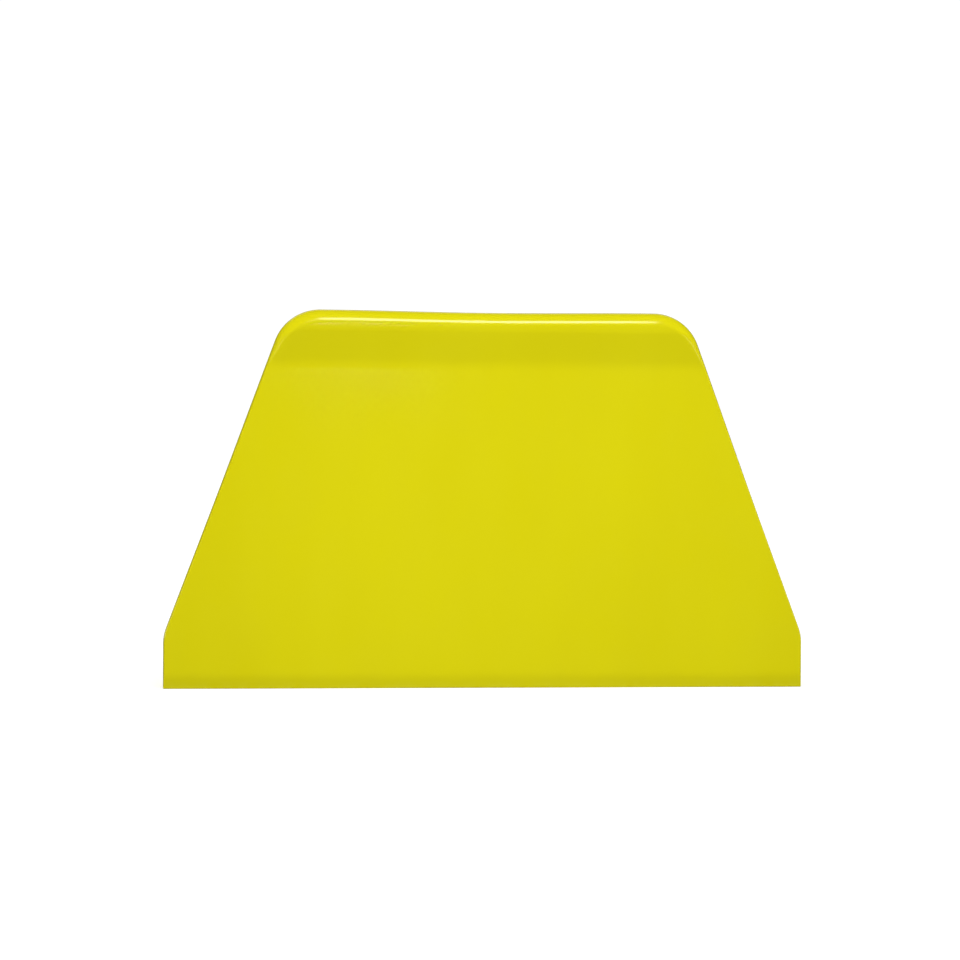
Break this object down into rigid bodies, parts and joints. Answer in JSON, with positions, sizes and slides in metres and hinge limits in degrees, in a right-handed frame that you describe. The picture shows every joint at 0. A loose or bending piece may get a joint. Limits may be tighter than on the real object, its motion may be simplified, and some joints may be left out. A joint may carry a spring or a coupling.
{
  "type": "squeegee applicator",
  "caption": "Flat one-piece plastic squeegee for pressing down vinyl film, with a straight bevelled working edge, sloping sides and a thick rounded grip bead.",
  "frame": {"origin": "middle of the working edge, on its flat land, midway through the thickness", "axes": "+X along the working edge, to the right seen from the front; +Y through the thickness towards the back face, so the front face looks along -Y; +Z from the working edge up to the grip bead"},
  "size_m": [0.1016, 0.005, 0.0596],
  "materials": {
    "lemon_plastic": "gloss"
  },
  "bodies": {
    "root": {"squeegee_body": "lemon_plastic"}
  },
  "joints": []
}
